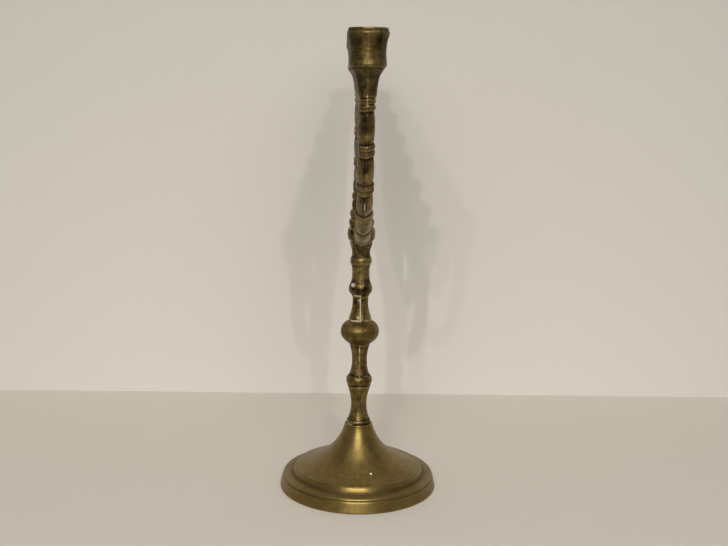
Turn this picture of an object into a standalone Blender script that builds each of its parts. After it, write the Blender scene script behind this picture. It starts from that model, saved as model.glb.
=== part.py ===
"""Seven-branched brass candelabrum on a round foot, built as an assembly.

Three pairs of U-shaped arms lie in one vertical plane (world XZ) and meet a
central column.  Every arm carries a turned candle cup and all seven cups
stand at one height.  Column, knop, stem and foot are separate turned pieces
pulled together by one threaded tie rod with a nut and washer under the foot.

Sizes are in mm and are scaled to metres as each piece is built.  +Z is up, the
origin is at the centre of the foot's resting face, and left is -X.
"""

import math
from collections import namedtuple

import bmesh
import bpy
import numpy as np

MM = 0.001

# ------------------------------------------------------------ shared dimensions
GAP = 0.3                    # clearance between neighbouring pieces

ROD_R = 2.5                  # M5 tie rod; the arms' spigots match it
ROD_TOP = 362.4
BORE_R = ROD_R + GAP

COLLAR_TOP = 58.6            # top of the collar round the stem's seat
RECESS_DEPTH = 2.0
SEAT_THICKNESS = 6.0
SEAT_Z = COLLAR_TOP - RECESS_DEPTH    # floor of the recess the stem stands in
PLATE_Z = SEAT_Z - SEAT_THICKNESS     # underside of the seat, over the washer

KNOP_BOTTOM = 132.6
KNOP_TOP = 153.0
SPINDLE_BOTTOM = 175.0

SHOULDER_Z = 351.4           # top of arms and column, where the cups stand
TOP_RINGS_Z = 346.6          # first ring pair below each cup

TURNED_STEPS = 20            # facets round a turned piece
FOOT_STEPS = 40
KNOP_STEPS = 32
ROD_STEPS = 16
CUTTER_SEGMENTS = 20

CUP_PITCH = 50.0             # distance between neighbouring cups
SIDES = (("left", -1.0), ("right", 1.0))

# One pair of arms and the hub they meet:
#   span: cup axis from the column axis   turn_z: height where the arm is vertical
#   drop: from turn_z to the hub's socket   growth: thickening towards the hub
#   end_r: radius of the arm against the hub
Rank = namedtuple(
    "Rank",
    "name span turn_z drop growth end_r tenon_r hub_neck_r hub_r hub_bottom hub_top",
)
OUTER = Rank("outer", 3 * CUP_PITCH, 357.0, 126.3, 0.18, 6.2, 3.5, 9.6, 12.1, 224.4, 237.4)
MIDDLE = Rank("middle", 2 * CUP_PITCH, 355.0, 81.3, 0.06, 5.2, 3.0, 6.5, 7.9, 267.9, 279.5)
INNER = Rank("inner", CUP_PITCH, 353.0, 36.3, 0.0, 5.0, 3.0, 5.9, 7.0, 311.2, 322.2)
RANKS = (OUTER, MIDDLE, INNER)

# ------------------------------------------------------------------ clean start
for old in list(bpy.data.objects):
    bpy.data.objects.remove(old, do_unlink=True)

parts = bpy.data.collections.new("Seven_branch_candelabrum")
cutters = bpy.data.collections.new("Cutters")
bpy.context.scene.collection.children.link(parts)
bpy.context.scene.collection.children.link(cutters)


# ---------------------------------------------------------------------- helpers
def metal(name, colour, roughness):
    """A fully metallic material, with the same colour in the viewport."""
    mat = bpy.data.materials.new(name)
    mat.use_nodes = True
    shader = mat.node_tree.nodes["Principled BSDF"]
    shader.inputs["Base Color"].default_value = (*colour, 1.0)
    shader.inputs["Roughness"].default_value = roughness
    shader.inputs["Metallic"].default_value = 1.0
    mat.diffuse_color = (*colour, 1.0)
    return mat


def place(name, data, collection=parts):
    ob = bpy.data.objects.new(name, data)
    collection.objects.link(ob)
    return ob


def lathe(name, outline, mat, closed=True, steps=TURNED_STEPS, x=0.0):
    """Turn an outline of (radius, height) about the vertical axis at x.

    A closed outline is a ring section and leaves a bore; an open one starts
    and ends on the axis.
    """
    mesh = bpy.data.meshes.new(name)
    bm = bmesh.new()
    verts = [bm.verts.new((r * MM, 0.0, z * MM)) for r, z in outline]
    for start, end in zip(verts, verts[1:]):
        bm.edges.new((start, end))
    if closed:
        bm.edges.new((verts[-1], verts[0]))
    bm.to_mesh(mesh)
    bm.free()
    mesh.materials.append(mat)
    ob = place(name, mesh)
    ob.location.x = x * MM
    turn = ob.modifiers.new("Turn", "SCREW")
    turn.axis = "Z"
    turn.angle = math.tau
    turn.steps = steps
    turn.render_steps = steps
    turn.use_merge_vertices = True
    turn.merge_threshold = 1e-5
    turn.use_smooth_shade = True
    return ob


def bored(outline):
    """Close an outline that runs from top to bottom with the tie rod's bore."""
    top, bottom = outline[0][1], outline[-1][1]
    return outline + [(BORE_R, bottom), (BORE_R, top)]


def bead(neck_r, max_r, bottom, top, divisions):
    """Outline of one rounded bead, from the top down."""
    points = []
    for i in range(divisions + 1):
        t = i / divisions
        bulge = math.sin(math.pi * t) ** 0.6
        points.append((neck_r + (max_r - neck_r) * bulge, top + (bottom - top) * t))
    return points


def ring_pair(centre_z, neck_r, ring_r):
    """Outline of two fine rings side by side, from the top down."""
    return [
        (neck_r, centre_z + 4.7),
        (ring_r, centre_z + 3.2),
        (ring_r, centre_z + 2.0),
        (neck_r + 0.1, centre_z),
        (ring_r, centre_z - 2.0),
        (ring_r, centre_z - 3.2),
        (neck_r, centre_z - 4.7),
    ]


def prism_mesh(name, segments, radius, length):
    """A capped prism about its own Z axis, centred on its origin."""
    mesh = bpy.data.meshes.new(name)
    bm = bmesh.new()
    bmesh.ops.create_cone(bm, cap_ends=True, segments=segments, radius1=radius * MM,
                          radius2=radius * MM, depth=length * MM)
    bm.to_mesh(mesh)
    bm.free()
    return mesh


def drill(ob, cutter_name, radius, length, z, along_x=False):
    """Cut a round hole centred on the column axis at height z."""
    mesh = prism_mesh(cutter_name, CUTTER_SEGMENTS, radius, length)
    cutter = place(cutter_name, mesh, cutters)
    cutter.location.z = z * MM
    if along_x:
        cutter.rotation_euler = (0.0, math.pi / 2, 0.0)
    cutter.hide_render = True
    cutter.display_type = "WIRE"
    cut = ob.modifiers.new("Cut", "BOOLEAN")
    cut.operation = "DIFFERENCE"
    cut.solver = "EXACT"
    cut.object = cutter


# --------------------------------------------------------------------- the foot
FOOT_R = 70.4                # outer radius at the table
RIM_INNER_R = FOOT_R - 3.6   # inside of the flat ring the foot stands on
COLLAR_R = 12.5
SEAT_R = 10.9

# (radius, height), down the outside and back up the hollow underside
FOOT_OUTLINE = [
    # collar
    (SEAT_R, COLLAR_TOP), (COLLAR_R - 0.3, COLLAR_TOP),
    (COLLAR_R, COLLAR_TOP - 0.6), (COLLAR_R + 0.1, 57.0),
    # flared body, out to the edge of the disc
    (13.2, 55.0), (15.2, 50.2), (17.4, 45.4), (20.4, 40.7), (23.4, 36.6),
    (29.0, 31.4), (37.0, 26.4), (46.0, 22.1), (52.0, 19.8), (56.3, 18.3),
    (57.1, 17.7),
    # hollow cove
    (57.6, 16.8), (58.9, 15.7), (61.4, 14.3), (66.4, 12.2),
    # small bead between the cove and the rim
    (67.1, 11.6), (67.9, 10.2),
    # slanted rim and resting face
    (68.5, 9.0), (69.5, 4.6), (FOOT_R, 0.8), (FOOT_R - 0.3, 0.0),
    (RIM_INNER_R, 0.0),
    # underside
    (RIM_INNER_R - 0.5, 6.5), (64.0, 9.8), (58.0, 13.4), (46.0, 18.8),
    (34.0, 24.6), (24.0, 31.8), (17.6, 39.6), (14.0, 45.6), (11.6, PLATE_Z),
    # bore and recess for the stem
    (BORE_R, PLATE_Z), (BORE_R, SEAT_Z), (SEAT_R, SEAT_Z),
]
lathe("foot", FOOT_OUTLINE,
      metal("foot_brass", colour=(0.36, 0.27, 0.10), roughness=0.36),
      steps=FOOT_STEPS)

# -------------------------------------------------------------------- fasteners
ROD_BOTTOM = 42.0
ROD_TIP_R = ROD_R - 0.5      # end faces inside the chamfers
ROD_CHAMFER = 0.6            # height of a chamfer
WASHER_R = 8.0
WASHER_THICKNESS = 1.2
NUT_HEIGHT = 4.0
NUT_ACROSS_FLATS = 8.0

WASHER_TOP = PLATE_Z - GAP
WASHER_BOTTOM = WASHER_TOP - WASHER_THICKNESS
NUT_Z = WASHER_BOTTOM - GAP - NUT_HEIGHT / 2     # centre of the nut

lathe("tie_rod", [
    (0.0, ROD_TOP),
    (ROD_TIP_R, ROD_TOP),
    (ROD_R, ROD_TOP - ROD_CHAMFER),
    (ROD_R, ROD_BOTTOM + ROD_CHAMFER),
    (ROD_TIP_R, ROD_BOTTOM),
    (0.0, ROD_BOTTOM),
], metal("rod_steel", colour=(0.42, 0.42, 0.41), roughness=0.4),
    closed=False, steps=ROD_STEPS)

lathe("foot_washer", bored([(WASHER_R, WASHER_TOP), (WASHER_R, WASHER_BOTTOM)]),
      metal("zinc_steel", colour=(0.45, 0.44, 0.42), roughness=0.42))


def build_nut():
    corner_r = NUT_ACROSS_FLATS / 2 / math.cos(math.pi / 6)
    mesh = prism_mesh("foot_nut", 6, corner_r, NUT_HEIGHT)
    mesh.materials.append(metal("nut_steel", colour=(0.5, 0.48, 0.44), roughness=0.38))
    nut = place("foot_nut", mesh)
    nut.location.z = NUT_Z * MM
    drill(nut, "nut_bore", BORE_R, 3 * NUT_HEIGHT, NUT_Z)


build_nut()

# ----------------------------------------------------- stem, knop and spindle
# Outlines are (radius, height) from the top down.
LOWER_STEM_OUTLINE = [
    (9.3, KNOP_BOTTOM - GAP), (8.9, 131.0), (8.0, 128.0), (7.1, 123.6),
    (6.7, 118.6), (6.8, 114.8), (7.2, 110.4), (8.0, 106.8), (9.2, 104.2),
    (10.8, 102.6), (11.5, 99.6), (11.1, 96.4), (9.9, 94.4), (9.8, 92.4),
    (8.7, 88.6), (7.4, 82.4), (6.95, 76.6), (7.4, 70.6), (9.0, 64.6),
    (10.4, 61.0), (10.5, 59.4), (10.5, SEAT_Z + GAP),
]
KNOP_OUTLINE = [
    (10.2, KNOP_TOP), (12.6, 151.9), (14.8, 150.0), (16.4, 147.2),
    (17.1, 143.6), (16.5, 140.2), (14.8, 137.8), (12.2, 135.4),
    (9.3, KNOP_BOTTOM),
]
UPPER_STEM_OUTLINE = [
    (7.0, SPINDLE_BOTTOM - GAP), (6.9, 171.0), (7.4, 165.4), (8.6, 160.0),
    (9.9, 156.2), (10.3, 154.4), (10.0, KNOP_TOP + GAP),
]
SPINDLE_OUTLINE = [
    (9.8, OUTER.hub_bottom - GAP), (9.9, 222.4), (8.6, 218.6), (7.9, 214.7),
    (8.2, 211.6), (9.1, 209.6), (9.5, 207.2), (9.1, 204.8), (8.2, 202.4),
    (7.75, 196.0), (8.3, 189.6), (9.2, 186.2), (10.2, 184.0), (10.1, 179.8),
    (8.6, 177.6), (7.4, SPINDLE_BOTTOM),
]
lathe("lower_stem", bored(LOWER_STEM_OUTLINE),
      metal("stem_brass", colour=(0.29, 0.21, 0.085), roughness=0.38))
lathe("knop", bored(KNOP_OUTLINE),
      metal("knop_brass", colour=(0.33, 0.24, 0.09), roughness=0.34),
      steps=KNOP_STEPS)
lathe("upper_stem", bored(UPPER_STEM_OUTLINE),
      metal("upper_stem_brass", colour=(0.29, 0.21, 0.085), roughness=0.38))
lathe("spindle", bored(SPINDLE_OUTLINE),
      metal("spindle_brass", colour=(0.27, 0.19, 0.08), roughness=0.4))

# -------------------------------------------------------------- hubs and column
COLUMN_COLOUR = (0.27, 0.19, 0.085)
COLUMN_ROUGHNESS = 0.42

# The stacked beads of the lower column: neck radius, largest radius, bottom, top
COLUMN_BEADS = (
    (7.0, 8.8, 260.9, MIDDLE.hub_bottom - GAP),
    (7.4, 8.7, 252.9, 260.7),
    (8.2, 10.2, 245.0, 252.7),
    (9.2, 10.9, OUTER.hub_top + GAP, 244.8),
)
COLUMN_OUTLINES = {
    "lower": [point for sizes in COLUMN_BEADS for point in bead(*sizes, divisions=4)],
    "middle": [
        (5.7, INNER.hub_bottom - GAP), (6.1, 307.5), (6.0, 303.0),
        *ring_pair(295.2, 5.5, 6.7),
        (6.1, 288.0), (6.2, 283.5), (6.0, MIDDLE.hub_top + GAP),
    ],
    # the shoulder takes the place of the ring pair's first point
    "upper": [
        (5.4, SHOULDER_Z),
        *ring_pair(TOP_RINGS_Z, 5.4, 6.4)[1:],
        (5.9, 338.0), (6.0, 332.0), (5.9, 327.0), (5.5, INNER.hub_top + GAP),
    ],
}


def build_hub(rank):
    """A single bead, drilled sideways for the tenons of its two arms."""
    name = rank.name + "_hub"
    outline = bead(rank.hub_neck_r, rank.hub_r, rank.hub_bottom, rank.hub_top,
                   divisions=8)
    hub = lathe(name, bored(outline),
                metal(name + "_brass", colour=(0.30, 0.22, 0.09), roughness=0.38))
    drill(hub, name + "_socket", rank.tenon_r + GAP, 3 * rank.hub_r,
          rank.turn_z - rank.drop, along_x=True)


for rank in RANKS:
    build_hub(rank)

for section, outline in COLUMN_OUTLINES.items():
    name = "column_" + section
    mat_name = "column_brass" if section == "lower" else name + "_brass"
    lathe(name, bored(outline), metal(mat_name, COLUMN_COLOUR, COLUMN_ROUGHNESS))

# --------------------------------------------------------------------- the arms
CURVE_EXPONENT = 2.09        # superellipse exponent of the centreline
CURVE_DIVISIONS = 1600
BEAD_PITCH = 33.6            # distance between ring pairs along an arm
BARREL_R = 5.85
RING_R = 6.2
NECK_R = 5.0
TOP_MARGIN = 0.8             # bare lengths beside the two shoulders
HUB_MARGIN = 2.0
HUB_STANDOFF = 0.45          # between the arm's shoulder and the hub's radius
LEVEL_LENGTH = 8.0           # stretch in which the arm levels out at the hub
SHOULDER_STEP = 0.02         # length in which the radius steps at a shoulder
TENON_END_X = BORE_R + 0.9   # tenons stop short of the tie rod's bore

# One ring pair and the barrel after it: offset along the arm, radius
BEAD_UNIT = (
    (-4.6, NECK_R), (-2.9, RING_R), (-2.0, RING_R), (0.0, NECK_R + 0.1),
    (2.0, RING_R), (2.9, RING_R), (4.6, NECK_R),
    (10.7, BARREL_R - 0.1), (16.8, BARREL_R), (22.9, BARREL_R - 0.1),
)


def arm_centreline(rank):
    """Arrays of arc length from the top, x and z along a right-hand arm."""
    angle = np.linspace(0.0, math.pi / 2, CURVE_DIVISIONS + 1)
    power = 2.0 / CURVE_EXPONENT
    x = rank.span * np.cos(angle) ** power
    z = rank.turn_z - rank.drop * np.sin(angle) ** power
    length = np.concatenate(([0.0], np.cumsum(np.hypot(np.diff(x), np.diff(z)))))
    return length, x, z


def arm_stations(rank):
    """Stations (x, z, radius) of a right-hand arm, from spigot to tenon."""
    length, path_x, path_z = arm_centreline(rank)
    top = np.argmax(path_z <= SHOULDER_Z)
    end = np.argmax(path_x <= rank.hub_r + HUB_STANDOFF)
    top_x, top_z, end_x = path_x[top], path_z[top], path_x[end]
    hub_z = rank.turn_z - rank.drop

    stations = [
        (rank.span, ROD_TOP, ROD_R),
        (top_x, top_z + SHOULDER_STEP, ROD_R),
        (top_x, top_z, NECK_R + 0.2),
    ]
    first_rings = rank.turn_z - TOP_RINGS_Z
    for centre in np.arange(first_rings, length[-1] + BEAD_PITCH, BEAD_PITCH):
        for offset, radius in BEAD_UNIT:
            s = centre + offset
            if length[top] + TOP_MARGIN < s < length[end] - HUB_MARGIN:
                stations.append((
                    np.interp(s, length, path_x),
                    np.interp(s, length, path_z),
                    radius * (1.0 + rank.growth * s / length[-1]),
                ))

    # The last stretch levels out so that the shoulder meets the hub squarely.
    levelled = []
    for x, z, radius in stations:
        weight = min(1.0, max(0.0, (x - end_x) / LEVEL_LENGTH))
        levelled.append((x, hub_z + (z - hub_z) * weight, radius))
    return levelled + [
        (end_x + 0.5, hub_z, rank.end_r),
        (end_x, hub_z, rank.end_r - 0.4),
        (end_x - SHOULDER_STEP, hub_z, rank.tenon_r),
        (TENON_END_X, hub_z, rank.tenon_r),
    ]


def build_arm(rank, side, sign):
    name = f"arm_{rank.name}_{side}"
    stations = arm_stations(rank)
    curve = bpy.data.curves.new(name, "CURVE")
    curve.dimensions = "3D"
    curve.bevel_depth = MM   # so that a point's radius is in mm
    curve.bevel_resolution = 2
    curve.use_fill_caps = True
    spline = curve.splines.new("POLY")
    spline.points.add(len(stations) - 1)
    for point, (x, z, radius) in zip(spline.points, stations):
        point.co = (sign * x * MM, 0.0, z * MM, 1.0)
        point.radius = radius
    spline.use_smooth = True
    curve.materials.append(
        metal(name + "_brass", colour=(0.28, 0.20, 0.095), roughness=0.44))
    place(name, curve)


# --------------------------------------------------------------------- the cups
CUP_TOP = 400.0
CUP_BOTTOM = SHOULDER_Z + GAP
SOCKET_R = 11.2              # takes a 22 mm candle
SOCKET_FLOOR = 376.0
BORE_TOP = ROD_TOP + 0.6     # blind bore over the tie rod or an arm's spigot

# (radius, height), from the socket's floor over the lip and down to the bore
CUP_OUTLINE = [
    (0.0, SOCKET_FLOOR), (SOCKET_R, SOCKET_FLOOR),
    (SOCKET_R, CUP_TOP - 0.6), (SOCKET_R + 0.6, CUP_TOP),
    (13.3, CUP_TOP), (15.1, 396.8), (15.2, 395.6), (14.3, 393.0),
    (13.5, 389.6), (13.0, 384.6), (13.0, 379.4), (13.5, 375.6),
    (13.3, 373.3), (11.6, 371.5), (9.6, 368.2), (8.0, 363.6),
    (7.1, 358.2), (6.6, CUP_BOTTOM),
    (BORE_R, CUP_BOTTOM), (BORE_R, BORE_TOP), (0.0, BORE_TOP),
]
cup_brass = metal("cup_brass", colour=(0.24, 0.18, 0.07), roughness=0.4)


def build_cup(position, x):
    lathe("cup_" + position, CUP_OUTLINE, cup_brass, closed=False, x=x)


build_cup("centre", 0.0)
for rank in RANKS:
    for side, sign in SIDES:
        build_arm(rank, side, sign)
        build_cup(f"{rank.name}_{side}", sign * rank.span)
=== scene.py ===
"""Seven-branched brass candelabrum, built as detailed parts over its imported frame.

The column stands on the origin along +Z. The arms spread along X in the plane
y = 0, left being -X. The camera looks along -X and sees the arms end on.
Meshes are worked out in mm; shaders, stage, lights and camera are in metres.
"""
import math

import bpy
import numpy as np
from mathutils import Matrix, Vector


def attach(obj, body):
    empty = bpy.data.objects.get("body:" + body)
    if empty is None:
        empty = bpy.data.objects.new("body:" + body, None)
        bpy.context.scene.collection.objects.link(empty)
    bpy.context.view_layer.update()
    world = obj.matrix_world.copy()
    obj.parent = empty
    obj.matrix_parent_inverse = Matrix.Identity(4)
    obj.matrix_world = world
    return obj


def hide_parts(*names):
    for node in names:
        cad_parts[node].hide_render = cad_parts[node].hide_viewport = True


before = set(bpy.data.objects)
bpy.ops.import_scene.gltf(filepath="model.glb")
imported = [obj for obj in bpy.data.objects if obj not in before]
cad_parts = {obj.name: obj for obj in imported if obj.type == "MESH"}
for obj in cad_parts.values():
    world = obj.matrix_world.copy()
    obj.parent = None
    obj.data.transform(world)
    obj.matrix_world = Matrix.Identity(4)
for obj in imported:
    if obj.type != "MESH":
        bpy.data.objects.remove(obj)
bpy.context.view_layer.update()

scene = bpy.context.scene
MM = 0.001
TAU = math.tau

BORE = 2.8                # radius of the hole down the column
CUP_PITCH = 50.0          # distance between neighbouring cups
SIDES = (("left", -1.0), ("right", 1.0))

# ---------------------------------------------------------------- noise and curves


def hash01(ix, iy, iz, seed):
    """Repeatable pseudo-random numbers in 0..1 for integer lattice points."""
    bits = (ix * 73856093 ^ iy * 19349663 ^ iz * 83492791
            ^ (seed * 2654435761 & 0xFFFFFFFF))
    bits = (bits ^ (bits >> 13)) * 1274126177 & 0xFFFFFFFF
    bits = (bits ^ (bits >> 16)) * 668265263 & 0xFFFFFFFF
    return ((bits ^ (bits >> 15)) & 0xFFFFFF) / float(0xFFFFFF)


def vnoise(points, scale, seed):
    """Smooth value noise in -1..1 for (..., 3) points in mm, scale in mm per cell."""
    scaled = points / scale
    cell = np.floor(scaled)
    part = scaled - cell
    part = part * part * (3 - 2 * part)
    cell = cell.astype(np.int64)
    total = 0.0
    for i in (0, 1):
        for j in (0, 1):
            for k in (0, 1):
                weight = ((part[..., 0] if i else 1 - part[..., 0])
                          * (part[..., 1] if j else 1 - part[..., 1])
                          * (part[..., 2] if k else 1 - part[..., 2]))
                total = total + weight * hash01(cell[..., 0] + i, cell[..., 1] + j,
                                                cell[..., 2] + k, seed)
    return total * 2 - 1


def segments(line):
    """Length of each segment of a line of points."""
    return np.linalg.norm(np.diff(line, axis=0), axis=1)


def travel(line):
    """Distance along a line at each of its points."""
    return np.concatenate([[0], np.cumsum(segments(line))])


def at_distance(line, path, where):
    """The (radius, height) found at a distance along a line."""
    return np.array([np.interp(where, path, line[:, 0]), np.interp(where, path, line[:, 1])])


def between(start, end, knot0, knot1, at):
    return (knot1 - at) / (knot1 - knot0) * start + (at - knot0) / (knot1 - knot0) * end


def catmull(points, step):
    """Points along a centripetal Catmull-Rom curve, about one step apart."""
    pts = np.array(points, float)
    if len(pts) == 2:
        count = max(1, int(math.ceil(np.linalg.norm(pts[1] - pts[0]) / step)))
        return pts[0] + (pts[1] - pts[0]) * np.linspace(0, 1, count + 1)[:, None]
    pts = np.vstack([2 * pts[0] - pts[1], pts, 2 * pts[-1] - pts[-2]])
    curve = [pts[1]]
    for i in range(1, len(pts) - 2):
        near = pts[i - 1:i + 3]
        gaps = [max(math.sqrt(np.linalg.norm(near[j + 1] - near[j])), 1e-4) for j in range(3)]
        knots = np.cumsum([0.0] + gaps)
        count = max(2, int(math.ceil(np.linalg.norm(near[2] - near[1]) / step)))
        for at in np.linspace(knots[1], knots[2], count + 1)[1:]:
            low = [between(near[j], near[j + 1], knots[j], knots[j + 1], at) for j in range(3)]
            mid = [between(low[j], low[j + 1], knots[j], knots[j + 2], at) for j in range(2)]
            curve.append(between(mid[0], mid[1], knots[1], knots[2], at))
    return np.array(curve)


def outline(spec, step, ease=0.25, closed=True):
    """Dense outline from (radius, height[, corner]) points in mm.

    A point with a third value is a corner; other points are smoothed. Every
    corner is eased by a small round.
    """
    points = [np.array(entry[:2], float) for entry in spec]
    corner = [len(entry) > 2 for entry in spec]
    count = len(points)
    if closed:
        start = corner.index(True)
        order = [(start + i) % count for i in range(count + 1)]
    else:
        order = list(range(count))
        corner[0] = corner[-1] = True
    runs, run = [], [order[0]]
    for i in order[1:]:
        run.append(i)
        if corner[i]:
            runs.append(run)
            run = [i]
    curves = [catmull([points[i] for i in run], step) for run in runs]
    spans = [segments(curve).sum() for curve in curves]
    count = len(curves)
    # what the round takes off the end of each run and the start of the next
    cuts = [min(ease, spans[i] * 0.4, spans[(i + 1) % count] * 0.4)
            if closed or i + 1 < count else 0.0 for i in range(count)]
    dense = []
    for i, curve in enumerate(curves):
        path = travel(curve)
        first, last = cuts[i - 1], path[-1] - cuts[i]
        dense.append(at_distance(curve, path, first))
        dense += [at_distance(curve, path, at) for at in path
                  if at - first > 0.06 and last - at > 0.06]
        end = at_distance(curve, path, last)
        dense.append(end)
        if cuts[i] > 0:
            following = curves[(i + 1) % count]
            after = at_distance(following, travel(following), cuts[i])
            for t in (0.25, 0.5, 0.75):
                dense.append((1 - t) ** 2 * end + 2 * t * (1 - t) * curve[-1] + t * t * after)
    kept = [dense[0]]
    for point in dense[1:]:
        if np.linalg.norm(point - kept[-1]) > 0.02:
            kept.append(point)
    if closed and np.linalg.norm(kept[0] - kept[-1]) < 0.02:
        kept.pop()
    return np.array(kept)


def relief(line, closed, width):
    """How far each point stands out of (+) or sits in (-) its surroundings, mm."""
    track = np.vstack([line] * 3) if closed else line
    path = travel(track)
    first = len(line) if closed else 0
    heights = np.zeros(len(line))
    for i in range(len(line)):
        k = first + i
        near = np.clip(path[k] + np.linspace(-width, width, 9), 0, path[-1])
        mean = at_distance(track, path, near).mean(axis=1)
        along = track[min(k + 1, len(track) - 1)] - track[max(k - 1, 0)]
        along = along / max(np.linalg.norm(along), 1e-9)
        heights[i] = (track[k] - mean) @ np.array([-along[1], along[0]])
    return heights


# ---------------------------------------------------------------- meshes


def make_mesh(name, verts, faces, attrs, material):
    """A smooth object from mm vertices. Attributes are 0 on the poles, which come last."""
    mesh = bpy.data.meshes.new(name)
    mesh.from_pydata([tuple(vert) for vert in verts * MM], [], faces)
    mesh.update()
    for key, values in attrs.items():
        padded = np.zeros(len(verts), np.float32)
        padded[:np.size(values)] = np.ravel(values)
        mesh.attributes.new(key, "FLOAT", "POINT").data.foreach_set("value", padded)
    mesh.polygons.foreach_set("use_smooth", [True] * len(mesh.polygons))
    mesh.materials.append(material)
    part = bpy.data.objects.new(name, mesh)
    scene.collection.objects.link(part)
    return part


def stand_in(part, node):
    """Put a part in the place of a piece of the frame."""
    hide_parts(node)
    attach(part, "root")


def grid_faces(rows, count, closed):
    """Quads of rows that close round count points. An open grid gets fans to two poles."""
    faces = []
    for i in range(rows if closed else rows - 1):
        here, there = i * count, ((i + 1) % rows) * count
        for j in range(count):
            k = (j + 1) % count
            faces.append((here + j, there + j, there + k, here + k))
    if not closed:
        pole, last = rows * count, (rows - 1) * count
        faces += [(pole, j, (j + 1) % count) for j in range(count)]
        faces += [(pole + 1, last + (j + 1) % count, last + j) for j in range(count)]
    return faces


def seam_angles(count, squeeze):
    """Angles round a piece, packed closer at the two parting seams."""
    share = np.arange(count) / count
    return TAU * share - squeeze * np.sin(2 * TAU * share)


def seam_distance(angle, radius):
    """Distance along the skin from the nearer seam, mm."""
    return np.abs(np.arcsin(np.clip(np.sin(angle), -1, 1)))[None, :] * radius


def ring_points(radius, angle, height, middle_x):
    return np.stack([radius * np.cos(angle) + middle_x, radius * np.sin(angle), height], -1)


def pit_at(points, centre, size):
    return np.exp(-(np.linalg.norm(points - centre, axis=-1) / size) ** 2)


def add_patches(value, patches, power, height, turn, side, cover):
    """Add (height, spread, bearing, spread in degrees, amount) patches to a 0..1 value."""
    for middle, spread, bearing, width, amount in patches:
        off = (turn - bearing + 180) % 360 - 180
        blob = np.exp(-((height - middle) / spread) ** power - (off / width) ** power) * side
        value = np.clip(value + amount * blob * cover, 0, 1)
    return value


def revolve(name, line, material, seed, seam, middle_x=0.0, count=112, closed=True,
            wobble=0.05, residue=0.0, seam_residue=0.0, bend=None, squeeze=0.34, pits=0,
            grain=1.0, dirt=1.0, halves=0.0, soot=(), chalk=(), smut=()):
    """A turned piece with a parting seam in the plane of the arms.

    seam, wobble and halves are the seam's height, the skin's unevenness and the
    slip of the two mould halves, mm. residue and seam_residue are the dried polish
    in crevices and on the seam. soot holds (low, high, amount) dark bands, partly
    tarnish and partly painted shade that dims highlights and reflections; chalk
    holds patches of dried polish and smut dark patches of tarnish and of painted
    shade, as in add_patches.
    """
    line = np.array(line)
    if closed:
        along = np.roll(line, -1, 0) - np.roll(line, 1, 0)
    else:
        along = np.gradient(line, axis=0)
    along /= np.maximum(np.linalg.norm(along, axis=1), 1e-9)[:, None]
    out_r, out_z = -along[:, 1, None], along[:, 0, None]
    side = np.clip(out_r, 0, 1)
    angle = seam_angles(count, squeeze)
    radius = line[:, 0, None] + 0 * angle
    height = line[:, 1, None] + 0 * angle
    pos = ring_points(radius, angle, height, middle_x)

    # shape of the skin: a broken seam, an uneven surface, pits
    crest = np.exp(-(seam_distance(angle, radius) / 0.42) ** 2) * side
    broken = 0.55 + 0.45 * vnoise(pos, 5.0, seed + 7)
    delta = seam * crest * np.clip(broken, 0.15, 1)
    delta = delta + wobble * (0.6 * vnoise(pos, 9.0 * grain, seed)
                              + 0.4 * vnoise(pos, 3.0 * grain, seed + 1)) * side
    if bend is not None:
        delta = delta + bend(angle, line)
    rng = np.random.RandomState(seed * 13 + 5)
    outer = np.where((out_r[:, 0] > 0.5) & (line[:, 0] > 4))[0]
    pitted = np.zeros_like(delta)
    for _ in range(pits):
        i = outer[rng.randint(len(outer))]
        bearing = rng.rand() * TAU
        centre = ring_points(line[i, 0], bearing, line[i, 1], middle_x)
        pit = pit_at(pos, centre, 0.25 + 0.35 * rng.rand() ** 2)
        delta = delta - 0.16 * pit
        pitted = np.maximum(pitted, pit)

    # wear and dirt, from relief at three widths
    wide, medium, fine = (relief(line, closed, width)[:, None] for width in (3.6, 1.5, 0.7))
    shade_and_tarnish = np.clip(-wide / 0.9, 0, 1) + 0 * angle
    cav = np.clip(-medium / 0.20, 0, 1) * 0.75 + np.clip(-fine / 0.08, 0, 1) * 0.7
    edge = np.clip(medium / 0.30, 0, 1) + np.clip(fine / 0.12, 0, 1) * 0.5
    smear = np.clip(0.45 + 1.1 * vnoise(pos, 6.0, seed + 21), 0, 1)
    # dark bands: tarnish, and painted shade where highlights and reflections are dimmed
    for low, high, amount in soot:
        middle, half = (low + high) / 2, (high - low) / 2
        band = np.clip(1.25 - np.abs(line[:, 1] - middle) / half, 0, 1)[:, None] * side
        shade_and_tarnish = np.clip(shade_and_tarnish + amount * band * (0.35 + 0.65 * smear), 0, 1)
    cav = np.clip(cav * dirt + pitted, 0, 1)
    edge = np.clip(edge, 0, 1) + 0 * angle
    res = np.clip(cav * (0.4 + 0.9 * smear) * residue + crest * seam_residue, 0, 1)
    turn = np.degrees(np.arctan2(np.sin(angle), np.cos(angle)))[None, :]
    res = add_patches(res, chalk, 2, height, turn, side, 0.45 + 0.55 * smear)
    # dark patches: tarnish, and painted shade over highlights and reflections
    shade_and_tarnish = add_patches(shade_and_tarnish, smut, 4, height, turn, side, 0.5 + 0.5 * smear)

    slip = halves * np.tanh(np.sin(angle) / 0.05) * side
    pos = ring_points(radius + out_r * delta, angle, height + out_z * delta + slip, middle_x)
    verts = pos.reshape(-1, 3)
    if not closed:
        verts = np.vstack([verts, (middle_x, 0.0, line[0, 1]), (middle_x, 0.0, line[-1, 1])])
    attrs = {"cav": cav, "shade_and_tarnish": shade_and_tarnish, "edge": edge, "seamline": crest, "res": res}
    return make_mesh(name, verts, grid_faces(len(line), count, closed), attrs, material)


# ---------------------------------------------------------------- shader nodes


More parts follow.
